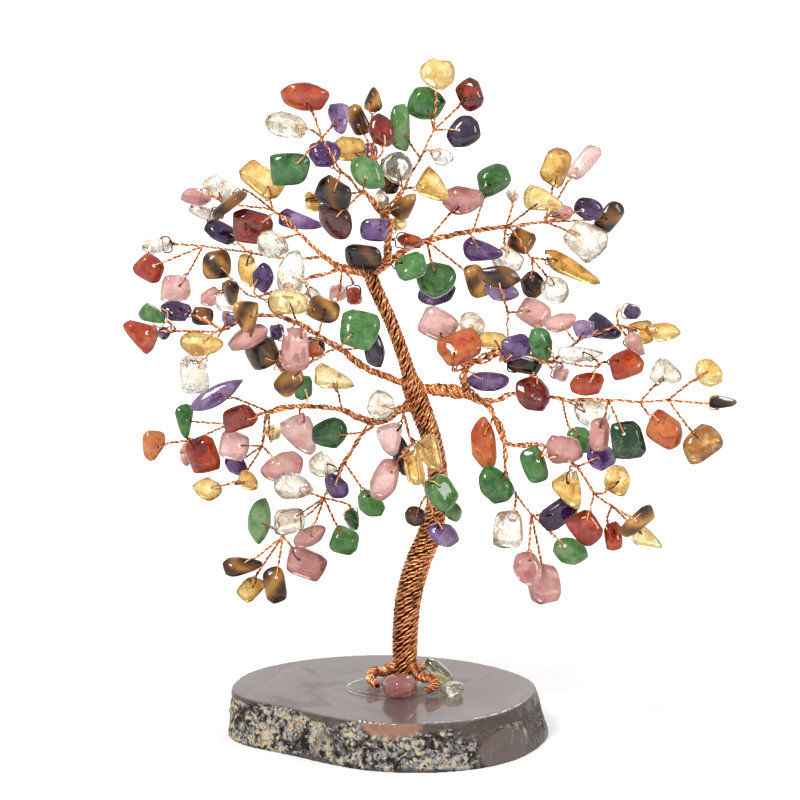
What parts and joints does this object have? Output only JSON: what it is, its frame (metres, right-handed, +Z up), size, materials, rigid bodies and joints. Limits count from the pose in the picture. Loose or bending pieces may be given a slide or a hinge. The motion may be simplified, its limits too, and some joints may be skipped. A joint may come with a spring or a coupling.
{
  "type": "gemstone tree ornament",
  "caption": "Bonsai-shaped wire tree with drilled tumbled gemstone chips for leaves, a twisted copper trunk glued to a polished agate slice, and limbs that bend.",
  "frame": {"origin": "centre of the agate slice's flat underside", "axes": "+Z up, +X to the viewer's right in the picture, -Y towards the viewer"},
  "size_m": [0.1505, 0.0866, 0.1717],
  "materials": {
    "carnelian": "tumbled, polished",
    "citrine": "tumbled, polished",
    "amethyst": "tumbled, polished",
    "aventurine": "tumbled, polished",
    "rose_quartz": "tumbled, polished",
    "clear_quartz": "tumbled, polished",
    "tigers_eye": "tumbled, polished",
    "copper_wire": "bright, twisted",
    "agate": "polished top, natural rind",
    "glue": "clear, glossy"
  },
  "bodies": {
    "root": {"agate_base": "agate", "centre_amethyst": "amethyst", "centre_aventurine": "aventurine", "centre_citrine": "citrine", "centre_clear_quartz": "clear_quartz", "centre_rose_quartz": "rose_quartz", "centre_tigers_eye": "tigers_eye", "centre_wires": "copper_wire", "foot_aventurine": "aventurine", "foot_clear_quartz": "clear_quartz", "foot_rose_quartz": "rose_quartz", "glue_pool": "glue", "leader_rope": "copper_wire", "trunk_rope": "copper_wire"},
    "top": {"top_amethyst": "amethyst", "top_aventurine": "aventurine", "top_carnelian": "carnelian", "top_citrine": "citrine", "top_clear_quartz": "clear_quartz", "top_tigers_eye": "tigers_eye", "top_wires": "copper_wire"},
    "upper_left": {"upper_left_amethyst": "amethyst", "upper_left_carnelian": "carnelian", "upper_left_citrine": "citrine", "upper_left_clear_quartz": "clear_quartz", "upper_left_rose_quartz": "rose_quartz", "upper_left_tigers_eye": "tigers_eye", "upper_left_wires": "copper_wire"},
    "upper_right": {"upper_right_amethyst": "amethyst", "upper_right_aventurine": "aventurine", "upper_right_citrine": "citrine", "upper_right_clear_quartz": "clear_quartz", "upper_right_rose_quartz": "rose_quartz", "upper_right_tigers_eye": "tigers_eye", "upper_right_wires": "copper_wire"},
    "mid_left": {"mid_left_amethyst": "amethyst", "mid_left_aventurine": "aventurine", "mid_left_carnelian": "carnelian", "mid_left_citrine": "citrine", "mid_left_clear_quartz": "clear_quartz", "mid_left_rose_quartz": "rose_quartz", "mid_left_tigers_eye": "tigers_eye", "mid_left_wires": "copper_wire"},
    "lower_left": {"lower_left_amethyst": "amethyst", "lower_left_aventurine": "aventurine", "lower_left_carnelian": "carnelian", "lower_left_citrine": "citrine", "lower_left_clear_quartz": "clear_quartz", "lower_left_rose_quartz": "rose_quartz", "lower_left_tigers_eye": "tigers_eye", "lower_left_wires": "copper_wire"},
    "right": {"right_amethyst": "amethyst", "right_aventurine": "aventurine", "right_carnelian": "carnelian", "right_citrine": "citrine", "right_clear_quartz": "clear_quartz", "right_rose_quartz": "rose_quartz", "right_tigers_eye": "tigers_eye", "right_wires": "copper_wire"}
  },
  "joints": [
    {"name": "top_bend", "type": "hinge", "parent": "root", "child": "top", "pos_m": [-0.00389, -0.00091, 0.1216], "axis": [1, 0, 0], "range_deg": [-3, 10]},
    {"name": "upper_left_bend", "type": "hinge", "parent": "root", "child": "upper_left", "pos_m": [-0.00853, 0.00102, 0.1189], "axis": [0, 0, -1], "range_deg": [-4, 12]},
    {"name": "upper_right_bend", "type": "hinge", "parent": "root", "child": "upper_right", "pos_m": [-0.00213, 0.00291, 0.11909], "axis": [0, 0, 1], "range_deg": [-3, 12]},
    {"name": "mid_left_bend", "type": "hinge", "parent": "root", "child": "mid_left", "pos_m": [0.00121, -0.00109, 0.09174], "axis": [0, 0, 1], "range_deg": [-4, 12]},
    {"name": "lower_left_bend", "type": "hinge", "parent": "root", "child": "lower_left", "pos_m": [0.00273, 0.00089, 0.08406], "axis": [0, 0, -1], "range_deg": [-4, 12]},
    {"name": "right_bend", "type": "hinge", "parent": "root", "child": "right", "pos_m": [0.01079, -0.00103, 0.08944], "axis": [0, 0, -1], "range_deg": [-4, 12]}
  ]
}
